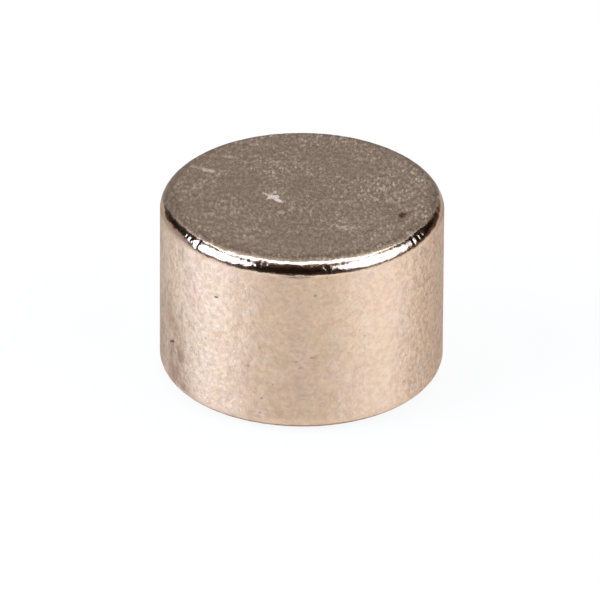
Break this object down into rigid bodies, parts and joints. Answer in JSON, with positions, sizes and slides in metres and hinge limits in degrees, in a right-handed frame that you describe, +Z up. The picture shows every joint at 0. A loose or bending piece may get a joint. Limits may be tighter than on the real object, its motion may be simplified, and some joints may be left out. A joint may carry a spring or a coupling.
{
  "type": "disc magnet",
  "caption": "Short solid cylinder with rounded rims and a bright plated skin: a small permanent magnet that holds steel at either flat face.",
  "frame": {"origin": "centre of the bottom flat face, which it stands on", "axes": "+Z up along the magnet's axis, out of the top flat face; X and Y are free, because the magnet is round"},
  "size_m": [0.006, 0.006, 0.004],
  "materials": {
    "nickel_plating": "satin"
  },
  "bodies": {
    "root": {"disc_magnet": "nickel_plating"}
  },
  "joints": []
}
